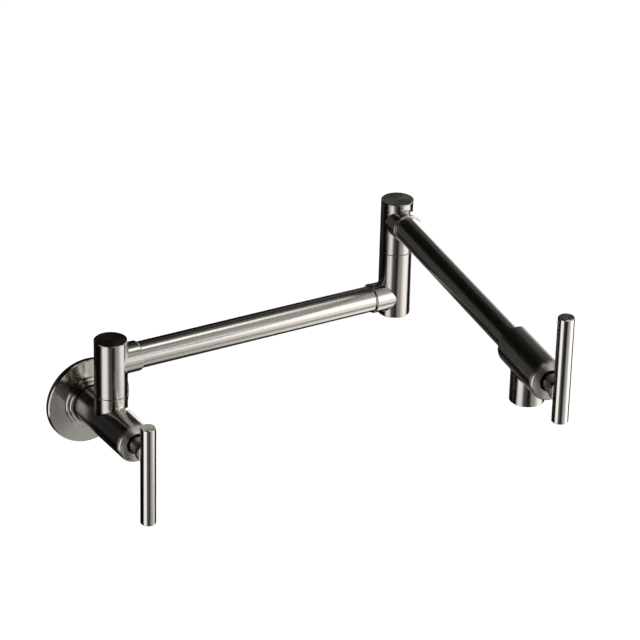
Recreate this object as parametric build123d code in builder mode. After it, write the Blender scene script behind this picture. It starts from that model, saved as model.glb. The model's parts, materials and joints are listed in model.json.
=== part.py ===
from build123d import *
from math import cos, radians, sin
import os

os.makedirs("parts", exist_ok=True)

# Wall mounted pot filler: an inlet valve on the wall, two swivelling arms and an outlet valve.
# Millimetres. The wall is the plane y = 0, the room lies toward -Y and up is +Z.
# The origin is the middle of the supply hole on the finished wall.

# ---- Layout ----
hub_offset = 45.5  # wall to the axis of the wall swivel
valve_reach = 92.5  # wall to the front face of the inlet valve
lower_arm_length = 280.0  # wall swivel axis to elbow axis
upper_arm_length = 280.0  # elbow axis to spout axis
upper_arm_angle = -100.0  # heading of the upper arm at rest, from +X, degrees
wall_joint_z = 26.5
wall_joint_to_arm = 29.5
arm_to_wall_hub_top = 21.0
arm_to_elbow_foot = 18.0
arm_to_elbow_joint = 42.5
elbow_joint_to_arm = 30.0
arm_to_elbow_top = 18.0
spout_setback = 42.0  # front face of the outlet valve back to the spout axis
outlet_tail = 24.0  # spout axis back to the rear end of the outlet valve
spout_drop = 37.0  # outlet valve axis down to the mouth

lower_arm_z = wall_joint_z + wall_joint_to_arm
wall_hub_top = lower_arm_z + arm_to_wall_hub_top
elbow_foot_z = lower_arm_z - arm_to_elbow_foot
elbow_joint_z = lower_arm_z + arm_to_elbow_joint
upper_arm_z = elbow_joint_z + elbow_joint_to_arm
elbow_top = upper_arm_z + arm_to_elbow_top

# ---- Clearances ----
fit_gap = 0.02  # radial, screwed, pressed and brazed joints
running_gap = 0.05  # radial, a shaft that turns in its hole
face_gap = 0.05  # flat faces that slide on each other
end_gap = 0.3  # the bottom of a blind hole beyond the end of what fills it
seam_chamfer = 0.15  # softens both edges of a seam

# ---- Hubs, bosses and arm tubes ----
hub_d = 28.6  # both swivel hubs, the fixed stub and the spout
tube_d = 23.0
tube_wall = 1.2
boss_wall = 1.6
boss_reach = 25.0  # hub axis to the end of its boss
boss_round = 1.2  # rounding of the end of a boss
boss_fillet = 1.0  # where a boss leaves its hub
socket_depth = 12.0  # how far a tube goes into its boss
cross_bore_r = 7.6  # water way from a hub into its boss
foot_chamfer = 1.0
mouth_chamfer = 0.5

hub_r = hub_d / 2
tube_r = tube_d / 2
boss_r = tube_r + boss_wall
socket_r = tube_r + fit_gap
socket_start = boss_reach - socket_depth

# ---- Swivels: a hollow post that a hub turns on ----
post_r = 8.95
post_bore_r = 5.5
post_grip = 11.6  # length screwed into the part below
port_r = 3.5
port_count = 4
chamber_wall = 3.2  # hub wall left round the ring chamber
chamber_half = 8.4  # half the height of the ring chamber, about the arm axis
upper_land = 3.6  # plain bore above the ring chamber, which holds the upper seal
lower_seal_rise = 10.0  # joint to the middle of the lower seal
seal_section = 1.7
seal_groove_depth = 1.75
seal_groove_width = 2.2
bearing_thickness = 0.4
bearing_rim = 0.4  # how far the bearing washer stays inside the hub's outline
washer_thickness = 0.8
washer_r = 10.6
stud_r = 5.0
stud_end = 0.45  # stud past the nut
nut_thickness = 2.6
nut_flats = 15.0
cap_bore_r = 11.0
cap_rim = 1.2
cap_spigot = 3.0
cap_spigot_wall = 1.6
cap_chamfer = 0.45

post_bore_top = port_r + 1.0  # above the arm axis
hub_bore_r = post_r + running_gap
chamber_r = hub_r - chamber_wall
shoulder_rise = chamber_half + upper_land  # arm axis to the shoulder under the nut
seal_r = post_r - seal_groove_depth + seal_section / 2 + fit_gap

# ---- Valve bodies and trim rings ----
valve_d = 34.0
valve_bore_r = 5.5
body_start = 2.0  # wall to the rear end of the inlet valve body
body_chamfer = 0.6
saddle_fillet = 2.2  # where a stub or spout leaves its valve body
trim_rim = 3.0
trim_chamfer = 1.1
trim_spigot = 7.0
trim_spigot_wall = 2.4
trim_body_wall = 2.4
face_hole_r = 9.35
hole_chamfer = 0.4
trim_seat = 8.0  # depth of the counterbore behind the trim ring
passage_wall = 3.4  # metal between the axial water way and the stub's water way
stub_bore_r = 6.5

valve_r = valve_d / 2
trim_seat_r = valve_r - trim_body_wall
stub_bottom = valve_bore_r + passage_wall

# ---- Ceramic cartridges: depths are measured back from the face of the trim ring ----
seat_depth = 38.0  # where the rubber seal bears on the valve body
cartridge_thread_r = 13.0
cartridge_thread = 12.0
chamber_bore_r = 12.2
nozzle_wall = 3.0
nozzle_height = 9.0  # seat to the floor of the chamber round the nozzle
skirt_wall = 2.1
disc_r = 8.8
disc_gap = 0.1  # radial, discs in the skirt
rubber_thickness = 2.4
disc_thickness = 3.4
driver_thickness = 2.5
disc_port_inner = 2.8
disc_port_outer = 7.2
disc_port_angle = 76.0
window_width = 9.0
window_height = 4.6
hex_flats = 20.0
hex_height = 4.0
neck_r = 7.0
neck_height = 2.0
housing_seal_section = 1.0
spindle_r = 5.0
spindle_seal_section = 1.7
spindle_groove_depth = 1.75
spindle_groove_width = 2.2
spindle_seal_depth = 16.0
spline_r = 4.0
spline_teeth = 20
spline_notch = 0.6
clip_thickness = 0.7
clip_groove_r = 4.3
clip_r = 6.0
clip_mouth = 5.0
clip_rise = 0.6  # gap between the cartridge's neck and the clip
dog_width = 2.4
dog_height = 1.4

nozzle_r = valve_bore_r + nozzle_wall
skirt_bore_r = disc_r + disc_gap
skirt_r = skirt_bore_r + skirt_wall
fixed_disc_depth = seat_depth - rubber_thickness
turning_disc_depth = fixed_disc_depth - disc_thickness - face_gap
driver_depth = turning_disc_depth - disc_thickness
cavity_depth = driver_depth - driver_thickness - disc_gap
thread_depth = trim_rim + trim_seat + cartridge_thread + 1.0
hex_depth = thread_depth - cartridge_thread
neck_depth = hex_depth - hex_height - neck_height
clip_depth = neck_depth - clip_rise
chamber_depth = seat_depth + nozzle_height

# ---- Levers: heights are measured out from the face of the trim ring ----
bar_d = 13.4
bar_length = 91.2
bar_short = 25.3  # stem axis to the near end of the bar
bar_standoff = 19.6  # face to the axis of the bar
bar_chamfer = 0.7
lever_neck_r = 7.6
lever_inset = 3.7  # how far the neck goes in behind the face
lever_head_r = 9.0
lever_head_start = 12.6
lever_head_end = 17.2
lever_fillet = 0.5
spindle_grip = 7.5  # spindle past the face
set_screw_r = 2.0
set_screw_height = 4.0
set_screw_length = 3.2
set_screw_key = 2.0
lever_stud_r = 2.5
lever_stud_depth = 5.0  # how far the stud goes into the bar

bar_r = bar_d / 2
lever_socket_end = spindle_grip + end_gap

# ---- Wall side: nipple, flange and gasket ----
nipple_r = 20.955 / 2  # G 1/2 male thread over its crests
nipple_reach = 18.0  # past the wall
nipple_grip = 15.5  # inside the valve body
nipple_shank_r = 10.0
nipple_bore_r = 6.5
nipple_key = 14.0
nipple_key_depth = 6.0
nipple_chamfer = 1.0
flange_d = 77.6
flange_rim = 4.2
flange_edge = 0.8
flange_cone = 1.0  # rise of the face from its edge to the collar
flange_lift = 0.4  # rim to the wall
flange_step_r = 23.4
flange_step = 2.2
flange_collar_r = 20.8
flange_collar = 2.1
flange_collar_edge = 0.5
flange_bore_gap = 1.0  # radial, collar to valve body
flange_skin = 1.8
flange_sleeve = 3.0
flange_seal_section = 2.1
flange_seal_depth = 4.6  # front of the collar to the middle of the seal
flange_groove_width = 2.6
gasket_inner_r = 32.5
gasket_thickness = 1.6
rim_wall = 2.0

flange_r = flange_d / 2
flange_face = flange_rim + flange_edge
flange_base = flange_face + flange_cone
flange_step_top = flange_base + flange_step
flange_front = flange_step_top + flange_collar
flange_bore_r = valve_r + flange_bore_gap
flange_seal_r = valve_r + flange_seal_section / 2 + fit_gap
flange_groove_r = valve_r + flange_seal_section + 3 * fit_gap
flange_seal_y = flange_front - flange_seal_depth

# ---- Aerator: heights are measured up from the mouth of the spout ----
aerator_r = 11.6
aerator_depth = 11.0
aerator_recess = 0.3
aerator_wall = 2.0
aerator_lip = 1.0
aerator_height = 9.1
aerator_chamfer = 0.6
insert_height = 5.4
insert_hole_r = 0.85
insert_hole_pitch = 2.6
insert_rings = 3
screen_thickness = 0.3
screen_pitch = 0.7
screen_hole_r = 0.5
screen_hole_pitch = 1.7
screen_holes = 7
aerator_washer_bore_r = 7.0

aerator_bore_r = aerator_r - aerator_wall

# ---- Axes: x points to the side, z along the axis ----
upper_arm_heading = Vector(cos(radians(upper_arm_angle)), sin(radians(upper_arm_angle)), 0)
elbow_point = Vector(lower_arm_length, -hub_offset, 0)
spout_point = elbow_point + upper_arm_heading * upper_arm_length
outlet_face = spout_point + upper_arm_heading * spout_setback

wall_axis = Plane((0, 0, 0), x_dir=(1, 0, 0), z_dir=(0, -1, 0))
inlet_axis = Plane((0, -valve_reach, 0), x_dir=(1, 0, 0), z_dir=(0, -1, 0))
outlet_axis = Plane(
    outlet_face + Vector(0, 0, upper_arm_z),
    x_dir=(-upper_arm_heading.Y, upper_arm_heading.X, 0),
    z_dir=upper_arm_heading,
)
wall_swivel_axis = Plane((0, -hub_offset, 0), x_dir=(1, 0, 0), z_dir=(0, 0, 1))
elbow_axis = Plane(elbow_point, x_dir=(1, 0, 0), z_dir=(0, 0, 1))
spout_axis = Plane(spout_point, x_dir=outlet_axis.x_dir, z_dir=(0, 0, 1))
lower_arm_axis = Plane((0, -hub_offset, lower_arm_z), x_dir=(0, 1, 0), z_dir=(1, 0, 0))
lower_arm_back = Plane(elbow_point + Vector(0, 0, lower_arm_z), x_dir=(0, 1, 0), z_dir=(-1, 0, 0))
upper_arm_axis = Plane(
    elbow_point + Vector(0, 0, upper_arm_z),
    x_dir=outlet_axis.x_dir,
    z_dir=upper_arm_heading,
)


def rod(axis, radius, low, high, mode=Mode.ADD):
    """A round bar about an axis, from one height to another."""
    with BuildSketch(axis.offset(low)) as section:
        Circle(radius)
    extrude(section.sketch, amount=high - low, dir=axis.z_dir, mode=mode)


def bore(axis, radius, low, high):
    """A round hole about an axis, from one height to another."""
    rod(axis, radius, low, high, mode=Mode.SUBTRACT)


def spin(axis, *outline, mode=Mode.ADD):
    """Turns a closed outline of (radius, height) points about an axis."""
    beside = Plane(axis.origin, x_dir=axis.x_dir, z_dir=-axis.y_dir)
    with BuildSketch(beside) as section:
        with BuildLine():
            Polyline(*outline, close=True)
        make_face()
    revolve(section.sketch, axis=Axis(axis.origin, axis.z_dir), mode=mode)


def seal_ring(axis, radius, section_d, height):
    """A rubber ring of round section about an axis."""
    beside = Plane(axis.origin, x_dir=axis.x_dir, z_dir=-axis.y_dir)
    with BuildSketch(beside) as section:
        with Locations((radius, height)):
            Circle(section_d / 2)
    revolve(section.sketch, axis=Axis(axis.origin, axis.z_dir))


def ring_groove(axis, floor_r, rim_r, width, height):
    """A square groove for a seal ring, cut from rim_r down or up to floor_r."""
    inner, outer = sorted((floor_r, rim_r))
    low, high = height - width / 2, height + width / 2
    spin(axis, (inner, low), (outer, low), (outer, high), (inner, high), mode=Mode.SUBTRACT)


def sector_pair(axis, inner_r, outer_r, angle, low, high):
    """Two opposite ring sectors, cut about an axis and centred on its x direction."""
    with BuildSketch(axis.offset(low)) as section:
        with BuildLine():
            near = CenterArc((0, 0), inner_r, -angle / 2, angle)
            far = CenterArc((0, 0), outer_r, -angle / 2, angle)
            Line(near @ 0, far @ 0)
            Line(near @ 1, far @ 1)
        make_face()
        mirror(about=Plane.YZ)
    extrude(section.sketch, amount=high - low, dir=axis.z_dir, mode=Mode.SUBTRACT)


def arm_tube(axis, start, end):
    """A length of arm tube about an axis."""
    rod(axis, tube_r, start, end)
    bore(axis, tube_r - tube_wall, start, end)


# ---- Wall flange and its gasket and seal ----
with BuildPart() as wall_flange:
    spin(
        wall_axis,
        (flange_r, flange_lift),
        (flange_r, flange_rim),
        (flange_r - flange_edge, flange_face),
        (flange_step_r, flange_base),
        (flange_step_r, flange_step_top - flange_collar_edge),
        (flange_step_r - flange_collar_edge, flange_step_top),
        (flange_collar_r, flange_step_top),
        (flange_collar_r, flange_front - flange_collar_edge),
        (flange_collar_r - flange_collar_edge, flange_front),
        (flange_bore_r, flange_front),
        (flange_bore_r, flange_lift),
        (flange_bore_r + flange_sleeve, flange_lift),
        (flange_bore_r + flange_sleeve, flange_base - flange_skin),
        (gasket_inner_r - rim_wall, flange_face - flange_skin),
        (gasket_inner_r - rim_wall, gasket_thickness),
        (flange_r - rim_wall, gasket_thickness),
        (flange_r - rim_wall, flange_lift),
    )
    ring_groove(wall_axis, flange_groove_r, valve_r, flange_groove_width, flange_seal_y)
wall_flange.part.label = "wall_flange"
export_step(wall_flange.part, "parts/wall_flange.step")

with BuildPart() as flange_gasket:
    rod(wall_axis, flange_r - rim_wall - fit_gap, 0, gasket_thickness)
    bore(wall_axis, gasket_inner_r, 0, gasket_thickness)
flange_gasket.part.label = "flange_gasket"
export_step(flange_gasket.part, "parts/flange_gasket.step")

with BuildPart() as flange_seal_ring:
    seal_ring(wall_axis, flange_seal_r, flange_seal_section, flange_seal_y)
flange_seal_ring.part.label = "flange_seal_ring"
export_step(flange_seal_ring.part, "parts/flange_seal_ring.step")

# ---- Threaded nipple between the supply fitting in the wall and the inlet valve ----
with BuildPart() as inlet_nipple:
    spin(
        wall_axis,
        (nipple_bore_r, -nipple_reach),
        (nipple_r - nipple_chamfer, -nipple_reach),
        (nipple_r, nipple_chamfer - nipple_reach),
        (nipple_r, body_start),
        (nipple_shank_r, body_start),
        (nipple_shank_r, body_start + nipple_grip - nipple_chamfer),
        (nipple_shank_r - nipple_chamfer, body_start + nipple_grip),
        (nipple_bore_r, body_start + nipple_grip),
    )
    with BuildSketch(wall_axis.offset(-nipple_reach)):
        RegularPolygon(nipple_key / 2, 6, major_radius=False)
    extrude(amount=nipple_key_depth, mode=Mode.SUBTRACT)
inlet_nipple.part.label = "inlet_nipple"
export_step(inlet_nipple.part, "parts/inlet_nipple.step")


def cartridge_cavity(axis):
    """Bores a valve body for its cartridge, round the nozzle that the cartridge seals on."""
    bore(axis, trim_seat_r, -trim_rim - trim_seat, -trim_rim)
    bore(axis, cartridge_thread_r, -thread_depth, -trim_rim)
    spin(
        axis,
        (nozzle_r, -chamber_depth),
        (chamber_bore_r, -chamber_depth),
        (chamber_bore_r, -trim_rim),
        (0, -trim_rim),
        (0, -seat_depth),
        (nozzle_r, -seat_depth),
        mode=Mode.SUBTRACT,
    )


# ---- Inlet valve body, with the stub that carries the wall swivel ----
wall_seat_z = wall_joint_z - bearing_thickness / 2
with BuildPart() as inlet_valve_body:
    rod(wall_axis, valve_r, body_start, valve_reach - trim_rim)
    chamfer(faces().sort_by(Axis.Y)[-1].edges(), body_chamfer)
    chamfer(faces().sort_by(Axis.Y)[0].edges(), seam_chamfer)
    rod(wall_swivel_axis, hub_r, 0, wall_seat_z)
    fillet(edges().filter_by(GeomType.BSPLINE), saddle_fillet)
    chamfer(faces().sort_by(Axis.Z)[-1].edges(), seam_chamfer)
    bore(wall_axis, nipple_shank_r + fit_gap, body_start, body_start + nipple_grip + end_gap)
    bore(wall_axis, valve_bore_r, body_start, valve_reach - trim_rim)
    cartridge_cavity(inlet_axis)
    bore(wall_swivel_axis, post_r + fit_gap, wall_seat_z - post_grip - end_gap, wall_seat_z)
    bore(wall_swivel_axis, stub_bore_r, stub_bottom, wall_seat_z)
inlet_valve_body.part.label = "inlet_valve_body"
export_step(inlet_valve_body.part, "parts/inlet_valve_body.step")

# ---- Outlet valve body, with the spout and the socket for the upper arm tube ----
outlet_rear = -spout_setback - outlet_tail
mouth_z = upper_arm_z - spout_drop
with BuildPart() as outlet_valve_body:
    rod(outlet_axis, valve_r, outlet_rear, -trim_rim)
    chamfer(faces().sort_by(Axis(outlet_axis.origin, outlet_axis.z_dir))[0].edges(), body_chamfer)
    chamfer(faces().sort_by(Axis(outlet_axis.origin, outlet_axis.z_dir))[-1].edges(), seam_chamfer)
    rod(spout_axis, hub_r, mouth_z, upper_arm_z)
    fillet(edges().filter_by(GeomType.BSPLINE), saddle_fillet)
    chamfer(faces().sort_by(Axis.Z)[0].edges(), mouth_chamfer)
    bore(outlet_axis, socket_r, outlet_rear, outlet_rear + socket_depth)
    bore(outlet_axis, valve_bore_r, outlet_rear, -trim_rim)
    cartridge_cavity(outlet_axis)
    bore(spout_axis, stub_bore_r, mouth_z, upper_arm_z - stub_bottom)
    bore(spout_axis, aerator_r, mouth_z, mouth_z + aerator_depth)
outlet_valve_body.part.label = "outlet_valve_body"
export_step(outlet_valve_body.part, "parts/outlet_valve_body.step")

# ---- Quarter-turn cartridge, trim ring and lever of each valve ----
for side, axis, bar_up in (("inlet", inlet_axis, -1), ("outlet", outlet_axis, 1)):
    with BuildPart() as trim_ring:
        spin(
            axis,
            (face_hole_r, -trim_rim),
            (face_hole_r, -hole_chamfer),
            (face_hole_r + hole_chamfer, 0),
            (valve_r - trim_chamfer, 0),
            (valve_r, -trim_chamfer),
            (valve_r, seam_chamfer - trim_rim),
            (valve_r - seam_chamfer, -trim_rim),
            (trim_seat_r - fit_gap, -trim_rim),
            (trim_seat_r - fit_gap, -trim_rim - trim_spigot),
            (trim_seat_r - trim_spigot_wall, -trim_rim - trim_spigot),
            (trim_seat_r - trim_spigot_wall, -trim_rim),
        )
    trim_ring.part.label = f"{side}_trim_ring"
    export_step(trim_ring.part, f"parts/{side}_trim_ring.step")

    with BuildPart() as disc_seal:
        rod(axis, disc_r, -seat_depth, -fixed_disc_depth)
        bore(axis, valve_bore_r, -seat_depth, -fixed_disc_depth)
    disc_seal.part.label = f"{side}_disc_seal"
    export_step(disc_seal.part, f"parts/{side}_disc_seal.step")

    fixed_disc_top = disc_thickness - fixed_disc_depth
    with BuildPart() as fixed_disc:
        rod(axis, disc_r, -fixed_disc_depth, fixed_disc_top)
        sector_pair(
            axis, disc_port_inner, disc_port_outer, disc_port_angle, -fixed_disc_depth, fixed_disc_top
        )
    fixed_disc.part.label = f"{side}_fixed_disc"
    export_step(fixed_disc.part, f"parts/{side}_fixed_disc.step")

    # Shut at rest: its pockets stand a quarter turn from the ports of the fixed disc.
    quarter_axis = Plane(axis.origin, x_dir=axis.y_dir, z_dir=axis.z_dir)
    with BuildPart() as turning_disc:
        rod(axis, disc_r - disc_gap, -turning_disc_depth, -driver_depth)
        sector_pair(
            quarter_axis, disc_port_inner, disc_r, disc_port_angle, -turning_disc_depth, -driver_depth
        )
        with BuildSketch(axis.offset(-driver_depth - dog_height - end_gap)):
            Rectangle(2 * disc_r, dog_width + 2 * disc_gap)
            Rectangle(4 * disc_port_inner - dog_width, 2 * disc_r, mode=Mode.SUBTRACT)
        extrude(amount=dog_height + end_gap, mode=Mode.SUBTRACT)
    turning_disc.part.label = f"{side}_turning_disc"
    export_step(turning_disc.part, f"parts/{side}_turning_disc.step")

    with BuildPart() as cartridge_housing:
        spin(
            axis,
            (skirt_bore_r, end_gap - seat_depth),
            (skirt_r, end_gap - seat_depth),
            (skirt_r, -thread_depth),
            (cartridge_thread_r - fit_gap, -thread_depth),
            (cartridge_thread_r - fit_gap, -hex_depth),
            (neck_r, -hex_depth),
            (neck_r, -neck_depth),
            (spindle_r + running_gap, -neck_depth),
            (spindle_r + running_gap, -cavity_depth),
            (skirt_bore_r, -cavity_depth),
        )
        with BuildSketch(axis.offset(-hex_depth)):
            RegularPolygon(hex_flats / 2, 6, major_radius=False)
            Circle(spindle_r + running_gap, mode=Mode.SUBTRACT)
        extrude(amount=hex_height)
        with BuildSketch(axis.offset(-turning_disc_depth - disc_thickness / 2)):
            Rectangle(3 * skirt_r, window_width)
            Circle(disc_r, mode=Mode.SUBTRACT)
        extrude(amount=window_height, mode=Mode.SUBTRACT)
    cartridge_housing.part.label = f"{side}_cartridge_housing"
    export_step(cartridge_housing.part, f"parts/{side}_cartridge_housing.step")

    with BuildPart() as housing_seal:
        seal_ring(
            axis,
            skirt_r + housing_seal_section / 2 + fit_gap,
            housing_seal_section,
            -thread_depth - housing_seal_section / 2 - fit_gap,
        )
    housing_seal.part.label = f"{side}_housing_seal"
    export_step(housing_seal.part, f"parts/{side}_housing_seal.step")

    with BuildPart() as spindle:
        rod(axis, disc_r - 2 * disc_gap, -driver_depth, driver_thickness - driver_depth)
        rod(axis, spindle_r, -driver_depth, clip_thickness - clip_depth + clip_thickness)
        with BuildSketch(axis.offset(-driver_depth - dog_height)):
            Rectangle(2 * (disc_r - 4 * disc_gap), dog_width)
            Rectangle(4 * disc_port_inner, 2 * disc_r, mode=Mode.SUBTRACT)
        extrude(amount=dog_height)
        with BuildSketch(axis.offset(-clip_depth)):
            Circle(spline_r)
            with PolarLocations(spline_r, spline_teeth):
                Rectangle(spline_notch, spline_notch, rotation=45, mode=Mode.SUBTRACT)
        extrude(amount=clip_depth + spindle_grip)
        ring_groove(
            axis, spindle_r - spindle_groove_depth, 2 * spindle_r, spindle_groove_width, -spindle_seal_depth
        )
        ring_groove(
            axis, clip_groove_r, 2 * spindle_r, clip_thickness + fit_gap, clip_thickness / 2 - clip_depth
        )
    spindle.part.label = f"{side}_spindle"
    export_step(spindle.part, f"parts/{side}_spindle.step")

    with BuildPart() as spindle_seal:
        seal_ring(
            axis,
            spindle_r - spindle_groove_depth + spindle_seal_section / 2 + fit_gap,
            spindle_seal_section,
            -spindle_seal_depth,
        )
    spindle_seal.part.label = f"{side}_spindle_seal"
    export_step(spindle_seal.part, f"parts/{side}_spindle_seal.step")

    with BuildPart() as spindle_clip:
        with BuildSketch(axis.offset(-clip_depth)):
            Circle(clip_r)
            Circle(clip_groove_r + fit_gap, mode=Mode.SUBTRACT)
            with Locations((clip_r, 0)):
                Rectangle(2 * (clip_r - clip_groove_r) + clip_mouth, clip_mouth, mode=Mode.SUBTRACT)
        extrude(amount=clip_thickness)
    spindle_clip.part.label = f"{side}_spindle_clip"
    export_step(spindle_clip.part, f"parts/{side}_spindle_clip.step")

    bar_axis = Plane(
        axis.origin + axis.z_dir * bar_standoff,
        x_dir=axis.x_dir,
        z_dir=axis.y_dir * bar_up,
    )
    screw_axis = Plane(
        axis.origin + axis.z_dir * set_screw_height,
        x_dir=axis.z_dir,
        z_dir=-axis.y_dir,
    )
    with BuildPart() as lever_hub:
        rod(axis, lever_neck_r, -lever_inset, lever_head_start)
        rod(axis, lever_head_r, lever_head_start, lever_head_end)
        fillet(edges().filter_by(GeomType.CIRCLE).group_by(SortBy.RADIUS)[-1], lever_fillet)
        bore(axis, spline_r + fit_gap, -lever_inset, lever_socket_end)
        bore(axis, lever_stud_r, lever_socket_end, bar_standoff)
        bore(bar_axis, bar_r + fit_gap, -lever_head_r - 1, lever_head_r + 1)
        bore(screw_axis, set_screw_r, 0, lever_neck_r + 1)
    lever_hub.part.label = f"{side}_lever_hub"
    export_step(lever_hub.part, f"parts/{side}_lever_hub.step")

    set_screw_start = spline_r + 2 * fit_gap
    with BuildPart() as set_screw:
        rod(screw_axis, set_screw_r - fit_gap, set_screw_start, set_screw_start + set_screw_length)
        with BuildSketch(screw_axis.offset(set_screw_start + set_screw_length)):
            RegularPolygon(set_screw_key / 2, 6, major_radius=False)
        extrude(amount=-set_screw_length / 2, mode=Mode.SUBTRACT)
    set_screw.part.label = f"{side}_set_screw"
    export_step(set_screw.part, f"parts/{side}_set_screw.step")

    with BuildPart() as lever_stud:
        rod(
            axis,
            lever_stud_r - fit_gap,
            lever_socket_end + end_gap,
            bar_standoff - bar_r + lever_stud_depth - end_gap,
        )
    lever_stud.part.label = f"{side}_lever_stud"
    export_step(lever_stud.part, f"parts/{side}_lever_stud.step")

    with BuildPart() as lever_bar:
        rod(bar_axis, bar_r, -bar_short, bar_length - bar_short)
        chamfer(edges().filter_by(GeomType.CIRCLE), bar_chamfer)
        bore(axis, lever_stud_r, 0, bar_standoff - bar_r + lever_stud_depth)
    lever_bar.part.label = f"{side}_lever_bar"
    export_step(lever_bar.part, f"parts/{side}_lever_bar.step")

# ---- Swivels: post, seals, bearing, washer, nut, hub and cap ----
for joint, axis, joint_z, arm_z, top_z, boss_axis in (
    ("wall_swivel", wall_swivel_axis, wall_joint_z, lower_arm_z, wall_hub_top, lower_arm_axis),
    ("elbow_swivel", elbow_axis, elbow_joint_z, upper_arm_z, elbow_top, upper_arm_axis),
):
    seat_z = joint_z - bearing_thickness / 2
    hub_z = seat_z + bearing_thickness + face_gap
    shoulder_z = arm_z + shoulder_rise
    washer_z = shoulder_z + face_gap
    nut_z = washer_z + washer_thickness
    cap_z = top_z - cap_rim
    seal_heights = (joint_z + lower_seal_rise, shoulder_z - upper_land / 2)

    with BuildPart() as swivel_post:
        rod(axis, post_r, seat_z - post_grip, washer_z)
        rod(axis, stud_r, washer_z, nut_z + nut_thickness + stud_end)
        bore(axis, post_bore_r, seat_z - post_grip, arm_z + post_bore_top)
        for port_angle in range(45, 405, 360 // port_count):
            port_axis = Plane(
                axis.origin + Vector(0, 0, arm_z),
                x_dir=(0, 0, 1),
                z_dir=(cos(radians(port_angle)), sin(radians(port_angle)), 0),
            )
            bore(port_axis, port_r, 0, post_r + 1)
        for seal_z in seal_heights:
            ring_groove(axis, post_r - seal_groove_depth, post_r + 1, seal_groove_width, seal_z)
    swivel_post.part.label = f"{joint}_post"
    export_step(swivel_post.part, f"parts/{joint}_post.step")

    with BuildPart() as swivel_seals:
        for seal_z in seal_heights:
            seal_ring(axis, seal_r, seal_section, seal_z)
    swivel_seals.part.label = f"{joint}_seals"
    export_step(swivel_seals.part, f"parts/{joint}_seals.step")

    with BuildPart() as swivel_bearing:
        rod(axis, hub_r - bearing_rim, seat_z, seat_z + bearing_thickness)
        bore(axis, post_r + fit_gap, seat_z, seat_z + bearing_thickness)
    swivel_bearing.part.label = f"{joint}_bearing"
    export_step(swivel_bearing.part, f"parts/{joint}_bearing.step")

    with BuildPart() as swivel_washer:
        rod(axis, washer_r, washer_z, nut_z)
        bore(axis, stud_r + fit_gap, washer_z, nut_z)
    swivel_washer.part.label = f"{joint}_washer"
    export_step(swivel_washer.part, f"parts/{joint}_washer.step")

    with BuildPart() as swivel_nut:
        with BuildSketch(axis.offset(nut_z)):
            RegularPolygon(nut_flats / 2, 6, major_radius=False)
            Circle(stud_r + fit_gap, mode=Mode.SUBTRACT)
        extrude(amount=nut_thickness)
    swivel_nut.part.label = f"{joint}_nut"
    export_step(swivel_nut.part, f"parts/{joint}_nut.step")

    with BuildPart() as swivel_hub:
        rod(axis, hub_r, hub_z, cap_z)
        chamfer(edges().filter_by(GeomType.CIRCLE), seam_chamfer)
        rod(boss_axis, boss_r, 0, boss_reach)
        fillet(edges().filter_by(GeomType.BSPLINE), boss_fillet)
        fillet(faces().sort_by(Axis(boss_axis.origin, boss_axis.z_dir))[-1].edges(), boss_round)
        bore(axis, hub_bore_r, hub_z, cap_z)
        bore(axis, chamber_r, arm_z - chamber_half, arm_z + chamber_half)
        bore(axis, cap_bore_r, shoulder_z, cap_z)
        bore(boss_axis, cross_bore_r, 0, boss_reach)
        bore(boss_axis, socket_r, socket_start, boss_reach)
    swivel_hub.part.label = f"{joint}_hub"
    export_step(swivel_hub.part, f"parts/{joint}_hub.step")

    with BuildPart() as swivel_cap:
        spin(
            axis,
            (0, cap_z),
            (0, top_z),
            (hub_r - cap_chamfer, top_z),
            (hub_r, top_z - cap_chamfer),
            (hub_r, cap_z),
            (cap_bore_r - fit_gap, cap_z),
            (cap_bore_r - fit_gap, cap_z - cap_spigot),
            (cap_bore_r - cap_spigot_wall, cap_z - cap_spigot),
            (cap_bore_r - cap_spigot_wall, cap_z),
        )
    swivel_cap.part.label = f"{joint}_cap"
    export_step(swivel_cap.part, f"parts/{joint}_cap.step")

# ---- Elbow base: the lower half of the elbow, at the end of the lower arm ----
elbow_seat_z = elbow_joint_z - bearing_thickness / 2
with BuildPart() as elbow_base:
    rod(elbow_axis, hub_r, elbow_foot_z, elbow_seat_z)
    chamfer(faces().sort_by(Axis.Z)[0].edges(), foot_chamfer)
    chamfer(faces().sort_by(Axis.Z)[-1].edges(), seam_chamfer)
    rod(lower_arm_back, boss_r, 0, boss_reach)
    fillet(edges().filter_by(GeomType.BSPLINE), boss_fillet)
    fillet(faces().sort_by(Axis.X)[0].edges(), boss_round)
    bore(elbow_axis, cross_bore_r, lower_arm_z - cross_bore_r, elbow_seat_z)
    bore(elbow_axis, post_r + fit_gap, elbow_seat_z - post_grip - end_gap, elbow_seat_z)
    bore(lower_arm_back, cross_bore_r, 0, boss_reach)
    bore(lower_arm_back, socket_r, socket_start, boss_reach)
elbow_base.part.label = "elbow_base"
export_step(elbow_base.part, "parts/elbow_base.step")

# ---- Arm tubes ----
tube_start = socket_start + end_gap
with BuildPart() as lower_arm_tube:
    arm_tube(lower_arm_axis, tube_start, lower_arm_length - tube_start)
lower_arm_tube.part.label = "lower_arm_tube"
export_step(lower_arm_tube.part, "parts/lower_arm_tube.step")

with BuildPart() as upper_arm_tube:
    arm_tube(upper_arm_axis, tube_start, upper_arm_length - outlet_tail + socket_depth - end_gap)
upper_arm_tube.part.label = "upper_arm_tube"
export_step(upper_arm_tube.part, "parts/upper_arm_tube.step")

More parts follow.
